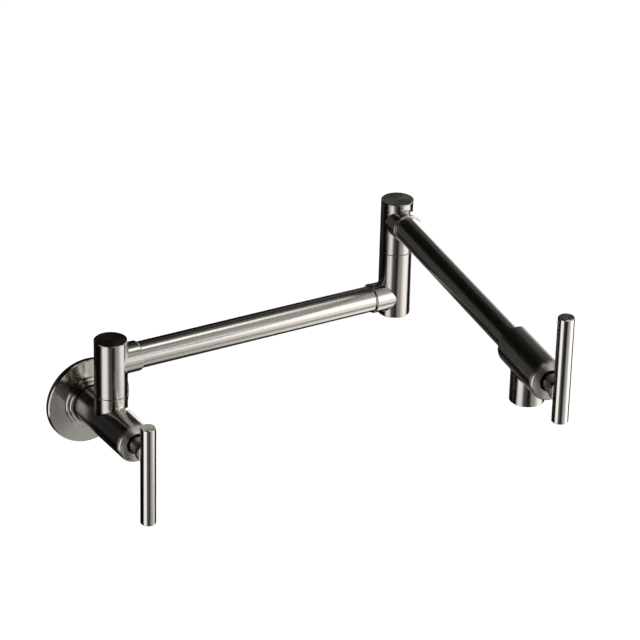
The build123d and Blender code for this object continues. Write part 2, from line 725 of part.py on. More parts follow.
# ---- Aerator in the mouth of the spout ----
aerator_z = mouth_z + aerator_recess
washer_bottom = aerator_z + aerator_height
with BuildPart() as aerator_housing:
    spin(
        spout_axis,
        (aerator_bore_r - aerator_lip, aerator_z),
        (aerator_r - fit_gap - aerator_chamfer, aerator_z),
        (aerator_r - fit_gap, aerator_z + aerator_chamfer),
        (aerator_r - fit_gap, washer_bottom),
        (aerator_bore_r, washer_bottom),
        (aerator_bore_r, aerator_z + aerator_lip),
        (aerator_bore_r - aerator_lip, aerator_z + aerator_lip),
    )
aerator_housing.part.label = "aerator_housing"
export_step(aerator_housing.part, "parts/aerator_housing.step")

insert_z = aerator_z + aerator_lip
with BuildPart() as aerator_insert:
    rod(spout_axis, aerator_bore_r - fit_gap, insert_z, insert_z + insert_height)
    with BuildSketch(spout_axis.offset(insert_z)):
        Circle(insert_hole_r)
        for ring in range(1, insert_rings + 1):
            with PolarLocations(ring * insert_hole_pitch, 6 * ring):
                Circle(insert_hole_r)
    extrude(amount=insert_height, mode=Mode.SUBTRACT)
aerator_insert.part.label = "aerator_insert"
export_step(aerator_insert.part, "parts/aerator_insert.step")

with BuildPart() as aerator_screens:
    for screen in range(2):
        screen_z = insert_z + insert_height + screen * screen_pitch
        with BuildSketch(spout_axis.offset(screen_z)):
            Circle(aerator_bore_r - fit_gap)
            with GridLocations(screen_hole_pitch, screen_hole_pitch, screen_holes, screen_holes):
                Circle(screen_hole_r, mode=Mode.SUBTRACT)
        extrude(amount=screen_thickness)
aerator_screens.part.label = "aerator_screens"
export_step(aerator_screens.part, "parts/aerator_screens.step")

with BuildPart() as aerator_washer:
    rod(spout_axis, aerator_r - fit_gap, washer_bottom, mouth_z + aerator_depth)
    bore(spout_axis, aerator_washer_bore_r, washer_bottom, mouth_z + aerator_depth)
aerator_washer.part.label = "aerator_washer"
export_step(aerator_washer.part, "parts/aerator_washer.step")
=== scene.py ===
"""Wall mounted pot filler in brushed nickel, dressed and lit as in its studio photograph.

Everything is in metres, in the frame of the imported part: +Z up, the wall behind +Y, the room toward -Y.
"""
import json
import logging
from dataclasses import dataclass
from dataclasses import field
from enum import Enum
from functools import partial
from math import cos
from math import pi
from math import radians
from math import sin
from typing import Callable

import bpy
import numpy as np
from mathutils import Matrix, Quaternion
from mathutils import Vector


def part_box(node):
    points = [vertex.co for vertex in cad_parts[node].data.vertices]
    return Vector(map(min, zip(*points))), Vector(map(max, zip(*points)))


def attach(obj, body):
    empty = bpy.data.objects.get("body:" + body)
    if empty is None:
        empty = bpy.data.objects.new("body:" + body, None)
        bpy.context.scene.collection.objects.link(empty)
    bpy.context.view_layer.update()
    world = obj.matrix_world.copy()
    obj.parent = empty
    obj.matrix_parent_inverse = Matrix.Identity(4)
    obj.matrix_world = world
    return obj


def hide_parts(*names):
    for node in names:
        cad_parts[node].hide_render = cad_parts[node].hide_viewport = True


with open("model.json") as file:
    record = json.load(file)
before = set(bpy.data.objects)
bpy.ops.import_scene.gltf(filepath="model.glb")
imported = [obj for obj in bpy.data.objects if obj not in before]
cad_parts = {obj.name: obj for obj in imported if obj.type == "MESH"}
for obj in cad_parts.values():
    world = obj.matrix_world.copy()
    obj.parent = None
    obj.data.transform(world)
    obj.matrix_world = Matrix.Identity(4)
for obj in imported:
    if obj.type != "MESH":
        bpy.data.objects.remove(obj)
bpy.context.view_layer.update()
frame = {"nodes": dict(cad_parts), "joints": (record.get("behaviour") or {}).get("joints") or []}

NODES: dict[str, bpy.types.Object] = frame["nodes"]
MM = 0.001

log = logging.getLogger("pot_filler")
Point = tuple[float, float, float]
Sockets = tuple[bpy.types.NodeSocket, ...]


class Slot(Enum):
    """Material slots of the part's record."""

    NICKEL = "satin_nickel"
    BRASS = "plain_brass"
    STEEL = "spring_steel"
    RUBBER = "seal_rubber"
    FOAM = "foam_gasket"
    ACETAL = "bearing_plastic"
    CERAMIC = "ceramic"
    AERATOR = "aerator_plastic"


class Blend(Enum):
    """What a mix node mixes: its data type, and the numbers of its two value sockets and of its result."""

    NUMBERS = ("FLOAT", 2, 3, 0)
    VECTORS = ("VECTOR", 4, 5, 1)
    COLOURS = ("RGBA", 6, 7, 2)

    def __init__(self, data_type: str, first: int, second: int, result: int) -> None:
        """Keeps the four values under their names.

        Args:
            data_type: the node's data type.
            first: the socket of the value at factor 0.
            second: the socket of the value at factor 1.
            result: the output socket.
        """
        self.data_type = data_type
        self.first = first
        self.second = second
        self.result = result


def linear(colour: str) -> tuple[float, float, float, float]:
    """Turns an sRGB hex colour into linear light, by the sRGB curve.

    Args:
        colour: six hex digits.

    Returns:
        Red, green, blue and a full alpha, for a shader socket.
    """
    shares = [int(colour[i : i + 2], 16) / 255 for i in (0, 2, 4)]
    red, green, blue = (s / 12.92 if s <= 0.04045 else ((s + 0.055) / 1.055) ** 2.4 for s in shares)
    return red, green, blue, 1.0


def add_node(
    tree: bpy.types.NodeTree,
    kind: str,
    sockets: dict[str | int, object] | None = None,
    **settings: object,
) -> bpy.types.Node:
    """Adds a shader node with its settings and links.

    Args:
        tree: the node tree.
        kind: the node's type.
        sockets: values for its inputs, or output sockets to link to them, by name or number.
        settings: the node's own properties.

    Returns:
        The new node.
    """
    node = tree.nodes.new(kind)
    for name, value in settings.items():
        setattr(node, name, value)
    for key, value in (sockets or {}).items():
        if isinstance(value, bpy.types.NodeSocket):
            tree.links.new(value, node.inputs[key])
        else:
            node.inputs[key].default_value = value
    return node


def new_tree(name: str) -> tuple[bpy.types.Material, bpy.types.NodeTree]:
    """Makes an empty node material.

    Args:
        name: the material's name.

    Returns:
        The material and its node tree.
    """
    material = bpy.data.materials.new(name)
    material.use_nodes = True
    material.node_tree.nodes.clear()
    return material, material.node_tree


def new_object(name: str, points: np.ndarray, faces: list[tuple[int, ...]]) -> bpy.types.Object:
    """Makes a mesh object in the scene.

    Args:
        name: the object's name.
        points: an array of rows of x, y and z, in metres.
        faces: tuples of point numbers.

    Returns:
        The new object.
    """
    mesh = bpy.data.meshes.new(name)
    mesh.from_pydata(points.tolist(), [], faces)
    mesh.update()
    made = bpy.data.objects.new(name, mesh)
    bpy.context.scene.collection.objects.link(made)
    return made


def dress(made: bpy.types.Object, material: bpy.types.Material) -> None:
    """Gives the whole of an object one material.

    Args:
        made: the object.
        material: the material for all its faces.
    """
    made.data.materials.clear()
    made.data.materials.append(material)


# ---- Finishes ----


@dataclass(frozen=True)
class Axis:
    """An axis that a piece was turned or brushed round."""

    point: Point
    direction: Point
    radius: float = 0.0

    def around(self, tree: bpy.types.NodeTree, place: bpy.types.NodeSocket) -> Sockets:
        """Adds the nodes that find a place round this axis.

        Args:
            tree: the node tree.
            place: the point on the surface, in the frame of the part at rest.

        Returns:
            The direction of the brush lines, the height along the axis, and the distance from it.
        """
        arm = add_node(tree, "ShaderNodeVectorMath", {0: place, 1: self.point}, operation="SUBTRACT")
        pair = {0: self.direction, 1: arm.outputs[0]}
        lines = add_node(tree, "ShaderNodeVectorMath", pair, operation="CROSS_PRODUCT")
        height = add_node(tree, "ShaderNodeVectorMath", pair, operation="DOT_PRODUCT")
        distance = add_node(tree, "ShaderNodeVectorMath", {0: lines.outputs[0]}, operation="LENGTH")
        return lines.outputs[0], height.outputs["Value"], distance.outputs["Value"]


@dataclass(frozen=True)
class BrushedNickel:
    """Nickel plate brushed with a fine belt while the piece turns, then lacquered.

    The lines run round each piece. They spread a reflection along the piece and leave it sharp across, so
    tubes show crisp dark and light bands, and turned faces show a bow tie of light.
    """

    colour: str = "e3ded7"
    line_colour: str = "d6d0c8"
    roughness: float = 0.2
    in_line: float = 1.18  # share of the roughness in the lines
    between_lines: float = 0.86  # share of the roughness between them
    anisotropy: float = 0.6
    line_spacing: float = 0.15 * MM  # a 180 grit belt leaves lines 0.05 mm apart; drawn coarser, to show
    line_length: float = 25 * MM
    line_depth: float = 0.004 * MM
    line_strength: float = 0.04
    line_detail: float = 3.0
    noise_low: float = 0.3  # the noise that counts as the middle of a line
    noise_high: float = 0.7  # the noise that counts as bare metal between lines
    branch_margin: float = 0.15 * MM  # a branch starts this far outside the main radius

    def material(self, name: str, main: Axis, branch: Axis | None = None) -> bpy.types.Material:
        """Makes the finish for a piece.

        Args:
            name: the material's name.
            main: the axis of the piece.
            branch: the axis of a stub or boss that stands on it, which shows outside the main radius.

        Returns:
            The material.
        """
        material, tree = new_tree(name)
        place = add_node(tree, "ShaderNodeTexCoord").outputs["Object"]
        lines, height, distance = self.brush_lines(tree, place, main, branch)
        scratch = self.scratches(tree, place, height, distance)
        tone = add_node(
            tree,
            "ShaderNodeMix",
            {
                "Factor": scratch,
                Blend.COLOURS.first: linear(self.line_colour),
                Blend.COLOURS.second: linear(self.colour),
            },
            data_type=Blend.COLOURS.data_type,
        )
        rough = add_node(
            tree,
            "ShaderNodeMapRange",
            {
                "Value": scratch,
                "To Min": self.roughness * self.in_line,
                "To Max": self.roughness * self.between_lines,
            },
        )
        bump = add_node(
            tree,
            "ShaderNodeBump",
            {"Strength": self.line_strength, "Distance": self.line_depth, "Height": scratch},
        )
        metal = add_node(
            tree,
            "ShaderNodeBsdfPrincipled",
            {
                "Base Color": tone.outputs[Blend.COLOURS.result],
                "Metallic": 1.0,
                "Roughness": rough.outputs[0],
                "Anisotropic": self.anisotropy,
                "Tangent": self.spread(tree, lines),
                "Normal": bump.outputs[0],
            },
        )
        add_node(tree, "ShaderNodeOutputMaterial", {"Surface": metal.outputs[0]})
        return material

    def brush_lines(
        self,
        tree: bpy.types.NodeTree,
        place: bpy.types.NodeSocket,
        main: Axis,
        branch: Axis | None,
    ) -> Sockets:
        """Adds the nodes that find a place round the axis that it was brushed round.

        Args:
            tree: the node tree.
            place: the point on the surface.
            main: the axis of the piece.
            branch: the axis of its stub or boss.

        Returns:
            The direction of the brush lines, the height along the axis, and the distance from it.
        """
        on_main = main.around(tree, place)
        if not branch:
            return on_main
        edge = main.radius + self.branch_margin
        outside = add_node(tree, "ShaderNodeMath", {0: on_main[2], 1: edge}, operation="GREATER_THAN")
        on_branch = branch.around(tree, place)
        mixed = []
        for blend, first, second in zip((Blend.VECTORS, Blend.NUMBERS, Blend.NUMBERS), on_main, on_branch):
            sockets = {"Factor": outside.outputs[0], blend.first: first, blend.second: second}
            mix = add_node(tree, "ShaderNodeMix", sockets, data_type=blend.data_type)
            mixed.append(mix.outputs[blend.result])
        return tuple(mixed)

    def spread(self, tree: bpy.types.NodeTree, lines: bpy.types.NodeSocket) -> bpy.types.NodeSocket:
        """Adds the direction square to the brush lines, along which they spread a reflection.

        Args:
            tree: the node tree.
            lines: the direction of the lines.

        Returns:
            A socket for the metal's tangent.
        """
        world = add_node(
            tree,
            "ShaderNodeVectorTransform",
            {0: lines},
            vector_type="VECTOR",
            convert_from="OBJECT",
            convert_to="WORLD",
        )
        normal = add_node(tree, "ShaderNodeNewGeometry").outputs["Normal"]
        pair = {0: normal, 1: world.outputs[0]}
        across = add_node(tree, "ShaderNodeVectorMath", pair, operation="CROSS_PRODUCT")
        unit = add_node(tree, "ShaderNodeVectorMath", {0: across.outputs[0]}, operation="NORMALIZE")
        return unit.outputs[0]

    def scratches(
        self,
        tree: bpy.types.NodeTree,
        place: bpy.types.NodeSocket,
        height: bpy.types.NodeSocket,
        distance: bpy.types.NodeSocket,
    ) -> bpy.types.NodeSocket:
        """Adds the fine lines round a piece, a few centimetres long each.

        Args:
            tree: the node tree.
            place: the point on the surface.
            height: its height along the axis.
            distance: its distance from the axis.

        Returns:
            A socket from 0 in a line to 1 between lines.
        """
        sideways = add_node(tree, "ShaderNodeCombineXYZ", {0: height, 1: distance}).outputs[0]
        across = {0: sideways, 3: 1 / self.line_spacing}
        fine = add_node(tree, "ShaderNodeVectorMath", across, operation="SCALE")
        along = {0: place, 3: 1 / self.line_length}
        drift = add_node(tree, "ShaderNodeVectorMath", along, operation="SCALE")
        both = {0: fine.outputs[0], 1: drift.outputs[0]}
        seat = add_node(tree, "ShaderNodeVectorMath", both, operation="ADD")
        noise = add_node(
            tree,
            "ShaderNodeTexNoise",
            {"Vector": seat.outputs[0], "Scale": 1.0, "Detail": self.line_detail},
        )
        ends = {"Value": noise.outputs[0], "From Min": self.noise_low, "From Max": self.noise_high}
        return add_node(tree, "ShaderNodeMapRange", ends).outputs[0]


@dataclass(frozen=True)
class PlainFinish:
    """A finish that is the same all over its piece, apart from a grain.

    The grain varies the colour and the roughness and lifts the surface a little.
    """

    name: str
    colour: str
    grain_colour: str
    roughness: float
    grain: float  # the real size of the grain
    depth: float  # how far it stands up
    metallic: float = 0.0
    ior: float = 1.5
    detail: float = 4.0
    strength: float = 0.5
    swing: float = 0.2  # share of the roughness that the grain adds or takes

    def material(self) -> bpy.types.Material:
        """Makes the material.

        Returns:
            The material.
        """
        material, tree = new_tree(self.name)
        place = add_node(tree, "ShaderNodeTexCoord").outputs["Object"]
        noise = add_node(
            tree,
            "ShaderNodeTexNoise",
            {"Vector": place, "Scale": 1 / self.grain, "Detail": self.detail},
        ).outputs[0]
        tone = add_node(
            tree,
            "ShaderNodeMix",
            {
                "Factor": noise,
                Blend.COLOURS.first: linear(self.colour),
                Blend.COLOURS.second: linear(self.grain_colour),
            },
            data_type=Blend.COLOURS.data_type,
        )
        rough = add_node(
            tree,
            "ShaderNodeMapRange",
            {
                "Value": noise,
                "To Min": self.roughness * (1 - self.swing),
                "To Max": self.roughness * (1 + self.swing),
            },
        )
        bump = add_node(
            tree,
            "ShaderNodeBump",
            {"Strength": self.strength, "Distance": self.depth, "Height": noise},
        )
        sockets = {
            "Base Color": tone.outputs[Blend.COLOURS.result],
            "Metallic": self.metallic,
            "Roughness": rough.outputs[0],
            "Normal": bump.outputs[0],
        }
        if not self.metallic:
            sockets["IOR"] = self.ior
        surface = add_node(tree, "ShaderNodeBsdfPrincipled", sockets)
        add_node(tree, "ShaderNodeOutputMaterial", {"Surface": surface.outputs[0]})
        return material


# Free-cutting brass, turned on a lathe: yellow, with fine tool marks.
TURNED_BRASS = PlainFinish(
    name="turned_brass",
    colour="d9b36c",
    grain_colour="c49b52",
    roughness=0.26,
    grain=0.6 * MM,
    depth=0.006 * MM,
    metallic=1.0,
)
# Free-cutting brass, painted dark brown as painted shade: it is seen down the dim holes round the levers'
# necks, and its colour stands in for the shade there.
SHADED_DARK_BRASS = PlainFinish(
    name="shade_painted_brass",
    colour="7d6140",
    grain_colour="5d4529",
    roughness=0.38,
    grain=0.6 * MM,
    depth=0.006 * MM,
    metallic=1.0,
)
# Cold drawn stainless spring steel, bright from the die.
SPRING_STEEL = PlainFinish(
    name="spring_steel",
    colour="cfcfd0",
    grain_colour="b4b4b8",
    roughness=0.22,
    grain=0.8 * MM,
    depth=0.004 * MM,
    metallic=1.0,
)
# Peroxide cured EPDM rubber, moulded: black, with a dull bloom.
SEAL_RUBBER = PlainFinish(
    name="epdm_rubber",
    colour="1f1f20",
    grain_colour="2b2b2c",
    roughness=0.62,
    grain=0.5 * MM,
    depth=0.02 * MM,
    ior=1.52,
)
# Closed cell polyethylene foam, die cut: dark grey, with cut cells 0.4 mm across.
GASKET_FOAM = PlainFinish(
    name="polyethylene_foam",
    colour="3a3a3b",
    grain_colour="232324",
    roughness=0.85,
    grain=0.4 * MM,
    depth=0.12 * MM,
    ior=1.51,
)
# Acetal, moulded: black and waxy, a thin dark line in the joints.
BEARING_ACETAL = PlainFinish(
    name="acetal",
    colour="1b1b1c",
    grain_colour="262626",
    roughness=0.42,
    grain=1.2 * MM,
    depth=0.01 * MM,
    ior=1.48,
)
# Alumina, pressed, fired and lapped flat: creamy white, with a low sheen.
LAPPED_ALUMINA = PlainFinish(
    name="lapped_alumina",
    colour="ece9e0",
    grain_colour="e2ded2",
    roughness=0.2,
    grain=0.15 * MM,
    depth=0.002 * MM,
    ior=1.77,
)
# Polypropylene, moulded: cool white and slightly glossy.
AERATOR_PLASTIC = PlainFinish(
    name="moulded_polypropylene",
    colour="e4e4e2",
    grain_colour="dadad8",
    roughness=0.35,
    grain=1.5 * MM,
    depth=0.01 * MM,
    ior=1.49,
)

# The cast and drawn pieces: warm grey, with crisp dark and light bands along them.
NICKEL = BrushedNickel()
# The pressed flange is buffed finer than the cast pieces, so that it mirrors the valve body in front of it.
BUFFED_NICKEL = BrushedNickel(roughness=0.16)
# The trim rings are left satin from the wheel, so that their faces show an even grey.
SATIN_NICKEL = BrushedNickel(roughness=0.3, anisotropy=0.3)
# The bars are drawn rod, a little smoother than the cast pieces; their nickel is painted lighter as a painted
# highlight, so that they show brighter.
HIGHLIGHT_PAINTED_NICKEL = BrushedNickel(colour="f6f2ec", line_colour="ece8e0", roughness=0.18)


class Workshop:
    """Dresses the part's nodes, with one copy of each plain finish."""

    def __init__(self) -> None:
        """Starts with no finish made."""
        self.made: dict[str, bpy.types.Material] = {}

    def plain(self, finish: PlainFinish) -> bpy.types.Material:
        """Returns a plain finish's material, made once.

        Args:
            finish: the finish.

        Returns:
            Its material.
        """
        if finish.name not in self.made:
            self.made[finish.name] = finish.material()
        return self.made[finish.name]

    def put(self, node: str, slot: Slot, finish: PlainFinish) -> None:
        """Dresses a node in a plain finish.

        Args:
            node: the node's name.
            slot: the record's slot that it belongs to; not used.
            finish: the finish.
        """
        dress(NODES[node], self.plain(finish))
        log.info("%s: %s", node, finish.name)

    def brush(
        self,
        node: str,
        main: Axis,
        branch: Axis | None = None,
        finish: BrushedNickel = NICKEL,
    ) -> None:
        """Brushes a node round its axis.

        Args:
            node: the node's name.
            main: the axis that it was turned round.
            branch: the axis of its stub or boss.
            finish: the brushed finish.
        """
        dress(NODES[node], finish.material(f"brushed_nickel_{node}", main, branch))
        log.info("%s: brushed nickel", node)


# ---- Axes of the part ----


def middle(node: str) -> Vector:
    """Returns the middle of a node's box."""
    low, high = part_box(node)
    return (low + high) / 2


def joint(name: str) -> dict:
    """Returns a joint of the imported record."""
    return next(j for j in frame["joints"] if j["name"] == name)


WALL_SWIVEL = Vector(joint("wall_swivel")["pos_m"])
ELBOW = Vector(joint("elbow_swivel")["pos_m"])
INLET = Vector(joint("inlet_lever_turn")["pos_m"])
OUTLET = Vector(joint("outlet_lever_turn")["pos_m"])
INLET_OUT = Vector(joint("inlet_lever_turn")["axis"])
OUTLET_OUT = Vector(joint("outlet_lever_turn")["axis"])
UP = Vector((0, 0, 1))
CAP_LOW, CAP_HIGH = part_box("wall_swivel_cap")
HUB_R = (CAP_HIGH.x - CAP_LOW.x) / 2
VALVE_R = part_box("inlet_trim_ring")[1].x


# ---- Sub-assemblies ----


@dataclass
class ThreadedNipple:
    """The G 1/2 nipple between the wall fitting and the inlet valve, with a socket for a hexagon key."""

    shop: Workshop
    crest_r: float = 20.955 / 2 * MM
    pitch: float = 1.814 * MM  # 14 threads to the inch
    thread_depth: float = 1.162 * MM
    flat: float = 0.12  # share of half a pitch that is flat, at the crest and at the root
    shank_r: float = 10.0 * MM
    bore_r: float = 6.5 * MM
    wall_end: float = 18.0 * MM
    shoulder: float = -2.0 * MM
    body_end: float = -17.5 * MM
    chamfer: float = 1.0 * MM
    lead: float = 1.6 * MM  # length of the taper on the first turn of thread
    lead_drop: float = 0.8  # how far that taper drops, as a share of the thread's depth
    key: float = 14.0 * MM  # across the flats
    key_depth: float = 6.0 * MM
    segments: int = 96
    rows_per_pitch: int = 10
    sharp_from: float = 38.0  # edges sharper than this, in degrees, stay crisp

    def thread_radius(self, y: float, angle: float) -> float:
        """Finds the radius of the thread, faded out at its ends.

        Args:
            y: the height along the nipple.
            angle: the angle round it.

        Returns:
            The radius there.
        """
        phase = (y / self.pitch - angle / (2 * pi)) % 1.0
        flank = abs(2 * phase - 1)
        profile = min(max((flank - self.flat) / (1 - 2 * self.flat), 0.0), 1.0)
        along = (self.wall_end - y) / self.lead
        ends = min(along, (y - self.shoulder) / self.pitch, 1.0)
        crest = self.crest_r - max(0.0, 1 - along) * self.thread_depth * self.lead_drop
        return crest - self.thread_depth * (1 - profile) * max(ends, 0.0)

    def hexagon_radius(self, angle: float) -> float:
        """Returns the distance from the axis to the wall of the key socket at an angle."""
        return max(self.key / 2 / cos((angle % (pi / 3)) - pi / 6), self.bore_r)

    def rings(self) -> list[tuple[float, Callable[[float], float]]]:
        """Lists the rings of the skin, down the outside and back up the bore.

        Returns:
            The height of each ring, and its radius at an angle.
        """
        rows = round((self.wall_end - self.shoulder) / self.pitch * self.rows_per_pitch)
        heights = np.linspace(self.wall_end, self.shoulder, rows + 1)
        floor = self.wall_end - self.key_depth
        return [(y, partial(self.thread_radius, y)) for y in heights] + [
            (self.shoulder, lambda angle: self.shank_r),
            (self.body_end + self.chamfer, lambda angle: self.shank_r),
            (self.body_end, lambda angle: self.shank_r - self.chamfer),
            (self.body_end, lambda angle: self.bore_r),
            (floor, lambda angle: self.bore_r),
            (floor, self.hexagon_radius),
            (self.wall_end, self.hexagon_radius),
        ]

    def build(self) -> None:
        """Builds the nipple as one closed skin of rings and puts it in place of its plain node."""
        rings = self.rings()
        count = self.segments
        angles = [2 * pi * i / count for i in range(count)]
        points = [(radius(a) * cos(a), y, radius(a) * sin(a)) for y, radius in rings for a in angles]
        faces = []
        for ring in range(len(rings)):
            after = (ring + 1) % len(rings)
            for i in range(count):
                j = (i + 1) % count
                faces.append((ring * count + i, ring * count + j, after * count + j, after * count + i))
        nipple = new_object("threaded_nipple", np.array(points), faces)
        nipple.data.shade_smooth()
        nipple.data.set_sharp_from_angle(angle=radians(self.sharp_from))
        dress(nipple, self.shop.plain(TURNED_BRASS))
        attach(nipple, "wall_valve")
        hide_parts("inlet_nipple")
        log.info("threaded_nipple: %d rings", len(rings))


@dataclass
class WallInlet:
    """The flange, its gasket and seal, and the inlet valve body with the stub of the wall swivel."""

    shop: Workshop
    axis: Axis = field(default_factory=lambda: Axis((0, 0, 0), tuple(INLET_OUT), VALVE_R))
    stub: Axis = field(default_factory=lambda: Axis((WALL_SWIVEL.x, WALL_SWIVEL.y, 0), tuple(UP), HUB_R))

    def build(self) -> None:
        """Dresses the pieces on the wall."""
        self.shop.brush("wall_flange", self.axis, finish=BUFFED_NICKEL)
        self.shop.brush("inlet_valve_body", self.axis, self.stub)
        self.shop.put("flange_gasket", Slot.FOAM, GASKET_FOAM)
        self.shop.put("flange_seal_ring", Slot.RUBBER, SEAL_RUBBER)
        ThreadedNipple(self.shop).build()


@dataclass
class Swivel:
    """A hollow post with its seals, bearing and nut, and the hub and cap that turn on it."""

    shop: Workshop
    name: str
    centre: Vector
    boss: Axis

    def build(self) -> None:
        """Dresses the swivel."""
        axis = Axis((self.centre.x, self.centre.y, 0), tuple(UP), HUB_R)
        self.shop.brush(f"{self.name}_hub", axis, self.boss)
        self.shop.brush(f"{self.name}_cap", axis)
        for name in ("post", "nut"):
            self.shop.put(f"{self.name}_{name}", Slot.BRASS, TURNED_BRASS)
        self.shop.put(f"{self.name}_seals", Slot.RUBBER, SEAL_RUBBER)
        for name in ("bearing", "washer"):
            self.shop.put(f"{self.name}_{name}", Slot.ACETAL, BEARING_ACETAL)


@dataclass
class Arm:
    """An arm tube, brushed round."""

    shop: Workshop
    node: str
    axis: Axis

    def build(self) -> None:
        """Dresses the tube."""
        self.shop.brush(self.node, self.axis)


@dataclass
class ElbowBase:
    """The lower half of the elbow, with the boss that takes the lower arm."""

    shop: Workshop
    boss: Axis

    def build(self) -> None:
        """Dresses the base."""
        self.shop.brush("elbow_base", Axis((ELBOW.x, ELBOW.y, 0), tuple(UP), HUB_R), self.boss)


@dataclass
class Valve:
    """The ceramic cartridge, trim ring and bar lever of a valve."""

    shop: Workshop
    side: str
    face: Vector
    out: Vector

    def build(self) -> None:
        """Dresses the valve's pieces."""
        axis = Axis(tuple(self.face), tuple(self.out), VALVE_R)
        bar = middle(f"{self.side}_lever_bar")
        self.shop.brush(f"{self.side}_trim_ring", axis, finish=SATIN_NICKEL)
        self.shop.brush(f"{self.side}_lever_hub", axis)
        # The bar's lighter nickel is a painted highlight.
        self.shop.brush(f"{self.side}_lever_bar", Axis(tuple(bar), tuple(UP)), finish=HIGHLIGHT_PAINTED_NICKEL)
        for name in ("disc_seal", "housing_seal", "spindle_seal"):
            self.shop.put(f"{self.side}_{name}", Slot.RUBBER, SEAL_RUBBER)
        for name in ("fixed_disc", "turning_disc"):
            self.shop.put(f"{self.side}_{name}", Slot.CERAMIC, LAPPED_ALUMINA)
        # The housing's dark brown is painted shade for the hole round the lever's neck.
        self.shop.put(f"{self.side}_cartridge_housing", Slot.BRASS, SHADED_DARK_BRASS)
        self.shop.put(f"{self.side}_spindle", Slot.BRASS, TURNED_BRASS)
        for name in ("spindle_clip", "set_screw", "lever_stud"):
            self.shop.put(f"{self.side}_{name}", Slot.STEEL, SPRING_STEEL)


@dataclass
class Spout:
    """The outlet valve body with its downturned spout, and the aerator in the mouth."""

    shop: Workshop

    def build(self) -> None:
        """Dresses the spout."""
        along = Axis(tuple(OUTLET), tuple(OUTLET_OUT), VALVE_R)
        down = Axis((OUTLET.x, OUTLET.y, 0), tuple(UP), HUB_R)
        self.shop.brush("outlet_valve_body", along, down)
        self.shop.brush("aerator_housing", down)
        self.shop.put("aerator_insert", Slot.AERATOR, AERATOR_PLASTIC)
        self.shop.put("aerator_screens", Slot.STEEL, SPRING_STEEL)
        self.shop.put("aerator_washer", Slot.RUBBER, SEAL_RUBBER)


# ---- Studio ----


def toward(azimuth: np.ndarray | float, elevation: np.ndarray | float) -> np.ndarray:
    """Finds the direction at an azimuth and an elevation.

    Args:
        azimuth: degrees, 0 toward the room at -Y and positive toward +X.
        elevation: degrees above the horizon.

    Returns:
        The unit vector, or an array of them.
    """
    turn, rise = np.radians(azimuth), np.radians(elevation)
    return np.stack([np.sin(turn) * np.cos(rise), -np.cos(turn) * np.cos(rise), np.sin(rise)], axis=-1)


def ramp(distance: np.ndarray, width: float) -> np.ndarray:
    """Returns a smooth step from 0 to 1 over a width."""
    share = np.clip(distance / width, 0, 1)
    return share * share * (3 - 2 * share)


def seen_plainly(tree: bpy.types.NodeTree) -> bpy.types.NodeSocket:
    """Adds the share of a ray that the camera, metal or glass sees.

    Args:
        tree: the node tree.

    Returns:
        A socket that is 1 for camera, glossy and transmission rays.
    """
    path = add_node(tree, "ShaderNodeLightPath").outputs
    seen = path["Is Camera Ray"]
    for ray in ("Is Glossy Ray", "Is Transmission Ray"):
        seen = add_node(tree, "ShaderNodeMath", {0: seen, 1: path[ray]}, operation="MAXIMUM").outputs[0]
    return seen


@dataclass(frozen=True)
class Gap:
    """A gap between the studio's black flags, through which the metal sees the white room.

    Azimuth and elevation are as in toward(), from edge to edge. A feather is the width in degrees over which
    an edge fades, in the order left, right, below and above. A light over 1 adds a lamp behind the gap.
    """

    azimuth: tuple[float, float]
    elevation: tuple[float, float]
    light: float = 1.0
    feather: tuple[float, float, float, float] = (8.0, 8.0, 8.0, 8.0)

    def open_share(self, azimuth: np.ndarray, elevation: np.ndarray) -> np.ndarray:
        """Finds how far the gap is open at each direction.

        Args:
            azimuth: an array of azimuths.
            elevation: an array of elevations, of the same shape.

        Returns:
            An array of shares, from 0 to the gap's light.
        """
        turn = (azimuth - self.azimuth[0]) % 360
        width = (self.azimuth[1] - self.azimuth[0]) % 360
        past = np.where(turn > (width + 360) / 2, turn - 360, turn)
        left, right, below, above = self.feather
        share = ramp(past + left / 2, left) * ramp(width - past + right / 2, right)
        share = share * ramp(elevation - self.elevation[0] + below / 2, below)
        return self.light * share * ramp(self.elevation[1] - elevation + above / 2, above)


@dataclass(frozen=True)
class Lamp:
    """A round plain lamp for the rubber and plastic pieces and the floor. The metal doesn't see it."""

    name: str
    place: Point
    size: float
    power: float

    def hang(self, aim: Vector) -> None:
        """Hangs the lamp.

        Args:
            aim: the point that it is turned to.
        """
        lamp = bpy.data.lights.new(self.name, "AREA")
        lamp.shape = "DISK"
        lamp.size = self.size
        lamp.energy = self.power
        held = bpy.data.objects.new(self.name, lamp)
        bpy.context.scene.collection.objects.link(held)
        held.location = self.place
        held.rotation_mode = "QUATERNION"
        held.rotation_quaternion = (aim - Vector(self.place)).to_track_quat("-Z", "Y")
        held.visible_glossy = False


